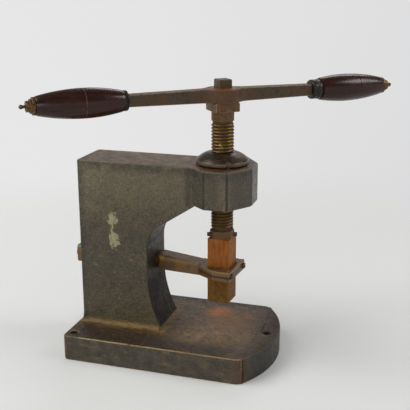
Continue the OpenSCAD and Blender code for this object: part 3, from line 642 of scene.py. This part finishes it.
def lever_bar():
    """The lever's plan, drawn for one side and mirrored: straight arms that swell into the hub.
    The arms get thinner outwards from the hub, and a spindle runs on through each grip."""
    arm, hub, swell, hole = 6.25, 19.0, 20.0, 7.7
    thick, level_part, taper = 15.0, 13.0, 0.16
    reach = math.sqrt((hub + swell) ** 2 - (arm + swell) ** 2)
    meet = math.atan2(arm + swell, reach)
    side = [(GRIP_START, 0), (GRIP_START, arm)]
    for i in range(9):
        turn = math.radians(-90) - (math.radians(90) - meet) * i / 8
        side.append((reach + swell * math.cos(turn), arm + swell + swell * math.sin(turn)))
    for i in range(1, 13):
        turn = meet + (math.pi / 2 - meet) * i / 12
        side.append((hub * math.cos(turn), hub * math.sin(turn)))
    side += [(-x, y) for x, y in reversed(side[:-1])]
    side += [(-hole, 0), (-hole, hole), (hole, hole), (hole, 0)]
    bm = bmesh.new()
    outline = bm.faces.new([bm.verts.new((x * MM, y * MM, -thick / 2 * MM)) for x, y in side])
    half = [outline] + outline.verts[:] + outline.edges[:]
    bmesh.ops.mirror(bm, geom=half, axis="Y", merge_dist=0.001 * MM)
    for x in (-level_part, level_part):
        bmesh.ops.bisect_plane(bm, geom=bm.verts[:] + bm.edges[:] + bm.faces[:], plane_co=(x * MM, 0, 0),
                               plane_no=(1, 0, 0))
    top = bmesh.ops.extrude_face_region(bm, geom=bm.faces[:])["geom"]
    top_verts = [v for v in top if isinstance(v, bmesh.types.BMVert)]
    bmesh.ops.translate(bm, verts=top_verts, vec=(0, 0, thick * MM))
    for vert in bm.verts:
        vert.co.z *= 1 - taper * max(0, abs(vert.co.x) / MM - level_part) / (GRIP_START - level_part)
    bmesh.ops.recalc_face_normals(bm, faces=bm.faces)
    round_edges(bm, 1.2, lambda e: mm_from_axis(e) > 12, 40)
    start, end = GRIP_START - 1, GRIP_END + 9
    lying = Matrix.Rotation(math.pi / 2, 4, "Y")
    for way in (-1, 1):
        spot = Matrix.Translation((way * (start + end) / 2 * MM, 0, 0))
        bmesh.ops.create_cone(bm, cap_ends=True, segments=32, radius1=SPINDLE_R * MM, radius2=SPINDLE_R * MM,
                              depth=(end - start) * MM, matrix=spot @ lying)
    return on_the_lever(bm, "right")


finish_piece("power_screw_thread", helical_thread(11.3 * MM, 12.7 * MM, THREAD_FOOT, 32),
             SCREW, "screw", ["power_screw"])
finish_piece("power_screw_collar_and_tang", plain_screw_parts(), SCREW, "screw")
finish_piece("lever_forged", lever_bar(), LEVER, "screw", ["lever"])


def barrel(a, b):
    """The outline of a grip between two places along the arm: two flat arcs from its fattest place."""
    fat, mouth, tail = 15.5, 9.75, 9.5
    points = []
    for i in range(25):
        d = a + (b - a) * i / 24
        if d < GRIP_FATTEST:
            run, rise = GRIP_FATTEST - GRIP_START, fat - mouth
        else:
            run, rise = GRIP_END - GRIP_FATTEST, fat - tail
        arc_r = (run * run + rise * rise) / (2 * rise)
        points.append((d, fat - arc_r + math.sqrt(arc_r ** 2 - (d - GRIP_FATTEST) ** 2)))
    return points


def softened(points, round_start, round_end):
    """An outline with its two end corners rounded. Beside a joint, where the rounding is small, one
    more point keeps it off the rest of the outline."""
    (x0, r0), (x1, r1) = points[0], points[-1]
    first = [(x0, r0 - round_start), (x0 + 0.3 * round_start, r0 - 0.3 * round_start)]
    last = [(x1 - 0.3 * round_end, r1 - 0.3 * round_end), (x1, r1 - round_end)]
    if round_start < 0.5:
        first.append((x0 + 1.4 * round_start, r0))
    if round_end < 0.5:
        last.insert(0, (x1 - 1.4 * round_end, r1))
    inner = [p for p in points if x0 + 1.5 * round_start < p[0] < x1 - 1.5 * round_end]
    return first + inner + last


def pale_joint(bm, joint_mm):
    """Marks the lip of a joint, where the lacquer chipped off pale."""
    layer = bm.verts.layers.float.get("edge_wear")
    for vert in bm.verts:
        away = Matrix.Rotation(-LEVER_TURN, 3, "Z") @ vert.co
        if abs(abs(away.x) - joint_mm * MM) < 0.12 * MM:
            vert[layer] = 1.0


def grip(side, ferrule_mm, joint_mm):
    """One turned grip: ring, two lengths of wood, stepped cap and ball."""
    bore = SPINDLE_R + 0.02
    first, last = GRIP_START, GRIP_START + ferrule_mm
    ring_mid = (first + last) / 2
    r = 10.9
    if ferrule_mm > 6:
        ring = [(first, r - 1.2), (first + 0.6, r - 0.4), (first + 1.6, r), (ring_mid - 1.5, r),
                (ring_mid - 0.8, r - 0.8), (ring_mid + 0.8, r - 0.8), (ring_mid + 1.5, r), (last - 1, r),
                (last, r - 0.5)]
    else:
        ring = [(first, r - 1.6), (first + 0.5, r - 0.7), (first + 1.4, r - 0.2), (ring_mid - 0.3, r - 0.9),
                (ring_mid + 0.5, r - 0.9), (first + 3.4, r - 0.1), (last, r - 0.4)]
    inner = turned(softened(barrel(last, joint_mm), 0.8, 0.35), bore, side)
    outer = turned(softened(barrel(joint_mm, GRIP_END), 0.35, 0.9), bore, side)
    if side == "left":
        pale_joint(inner, joint_mm)
        pale_joint(outer, joint_mm)
    cap = [(GRIP_END + out, radius) for out, radius in (
        (0, 8.4), (0.4, 9.1), (2.4, 9.1), (2.9, 8.6), (3, 7.6), (3.3, 7.3), (4.9, 7.3), (5.3, 6.9),
        (5.4, 5.9), (5.8, 5.7), (8.3, 5.7), (8.9, 5.2), (9, 4.6))]
    ball = [(GRIP_END + 9, 1.6), (GRIP_END + 10.6, 1.6)]
    for turn in range(45, 180, 15):
        way = math.radians(turn)
        ball.append((BALL_MID - BALL_R * math.cos(way), BALL_R * math.sin(way)))
    finish_piece(side + "_ferrule", turned(ring, bore, side), HORN, "screw", [side + "_ferrule_ring"])
    finish_piece(side + "_grip_inner_wood", inner, WOOD, "screw", [side + "_grip_inner"])
    finish_piece(side + "_grip_outer_wood", outer, WOOD, "screw", [side + "_grip_outer"])
    finish_piece(side + "_cap", turned(cap, bore, side), BRASS, "screw", [side + "_end_cap"])
    finish_piece(side + "_ball", turned(ball, 0.15, side), BRASS, "screw", [side + "_ball_nut"])


grip("left", 4.5, GRIP_FATTEST)
grip("right", 12, 168)


# ---------------------------------------------------------------- floor, light and camera
def seen_rays(tree):
    """1 for what is seen straight on, in a reflection or through glass, 0 for light on the press."""
    paths = put(tree, "LightPath").outputs
    seen = put(tree, "Math", {0: paths["Is Camera Ray"], 1: paths["Is Glossy Ray"]}, operation="MAXIMUM")
    return put(tree, "Math", {0: seen.outputs[0], 1: paths["Is Transmission Ray"]},
               operation="MAXIMUM").outputs[0]


def fade_to_backdrop(tree, shader):
    """Away from the press and its shadow the floor shows a pale backdrop, a little darker to the right."""
    place = put(tree, "TexCoord").outputs["Object"]
    away = put(tree, "VectorMath", {0: place}, operation="LENGTH").outputs["Value"]
    toward = put(tree, "VectorMath", {0: place}, operation="NORMALIZE").outputs[0]
    rightward = put(tree, "VectorMath", {0: toward, 1: (0.956, 0.294, 0)}, operation="DOT_PRODUCT")
    side = put(tree, "MapRange", {0: rightward.outputs["Value"], 1: -0.4, 2: 0.6},
               interpolation_type="SMOOTHSTEP").outputs[0]
    colour = put(tree, "Mix", {0: side, 6: srgb("#e7e7e7"), 7: srgb("#dcdcdc")}, data_type="RGBA")
    glow = put(tree, "Emission", {"Color": colour.outputs[2]}).outputs[0]
    far = put(tree, "MapRange", {0: away, 1: 0.26, 2: 1.0}, interpolation_type="SMOOTHSTEP").outputs[0]
    share = put(tree, "Math", {0: far, 1: seen_rays(tree)}, operation="MULTIPLY").outputs[0]
    mixed = put(tree, "MixShader", {0: share, 1: shader.outputs[0], 2: glow}).outputs[0]
    tree.links.new(mixed, tree.nodes["Material Output"].inputs["Surface"])


def pale_floor(scene):
    bm = bmesh.new()
    bmesh.ops.create_grid(bm, x_segments=1, y_segments=1, size=40)
    mesh = bpy.data.meshes.new("floor")
    bm.to_mesh(mesh)
    bm.free()
    floor = bpy.data.objects.new("floor", mesh)
    scene.collection.objects.link(floor)
    paper = bpy.data.materials.new("matt_white_paper")
    paper.use_nodes = True
    shader = paper.node_tree.nodes["Principled BSDF"]
    shader.inputs["Base Color"].default_value = srgb("#e4e4e2")
    shader.inputs["Roughness"].default_value = 0.9
    shader.inputs["Specular IOR Level"].default_value = 0.1
    mesh.materials.append(paper)
    fade_to_backdrop(paper.node_tree, shader)


def soft_light(scene):
    """A room with pale walls and a dark ceiling, and four soft lamps, the strongest at the upper left."""
    world = bpy.data.worlds.new("studio")
    scene.world = world
    world.use_nodes = True
    tree = world.node_tree
    direction = put(tree, "TexCoord").outputs["Generated"]
    rise = put(tree, "SeparateXYZ", {0: direction}).outputs["Z"]
    ceiling = put(tree, "MapRange", {0: rise, 1: 0.10, 2: 0.50}, interpolation_type="SMOOTHSTEP").outputs[0]
    walls = put(tree, "Mix", {0: ceiling, 6: srgb("#e2e2e2"), 7: (0.17, 0.17, 0.17, 1)}, data_type="RGBA")
    tree.links.new(walls.outputs[2], tree.nodes["Background"].inputs["Color"])

    for name, spot, aim, size, power in (
            ("key", (-1.2, -0.6, 1.6), (-0.02, 0, 0.12), (1.5, 1.3), 27),
            ("front", (0.3, -1.9, 0.9), (0, 0, 0.15), (0.9, 0.7), 5),
            ("right", (1.41, 0.34, 1.4), (0.14, 0.13, 0.29), (0.9, 0.6), 11),
            ("back", (-0.1, 1.5, 1.4), (0, 0, 0.2), (1.2, 0.5), 6)):
        light = bpy.data.lights.new(name, "AREA")
        light.shape = "RECTANGLE"
        light.size, light.size_y = size
        light.energy = power
        lamp = bpy.data.objects.new(name, light)
        scene.collection.objects.link(lamp)
        lamp.location = spot
        lamp.rotation_euler = (Vector(spot) - Vector(aim)).to_track_quat("Z", "Y").to_euler()


def photo_camera(scene):
    """The camera at the photograph's place, as the fit to its straight edges gave it."""
    lens = bpy.data.cameras.new("camera")
    lens.lens = 68.27
    lens.sensor_width = 36
    camera = bpy.data.objects.new("camera", lens)
    scene.collection.objects.link(camera)
    right = Vector((0.9557, 0.2942, 0.0)).normalized()
    back_way = Vector((0.2827, -0.9183, 0.2771)).normalized()
    up = back_way.cross(right)
    right = up.cross(back_way)
    camera.matrix_world = Matrix.Translation((0.2284, -0.8077, 0.4211)) @ Matrix(
        (right, up, back_way)).transposed().to_4x4()
    scene.camera = camera


pale_floor(bpy.context.scene)
soft_light(bpy.context.scene)
photo_camera(bpy.context.scene)
bpy.context.scene.view_settings.view_transform = "Standard"
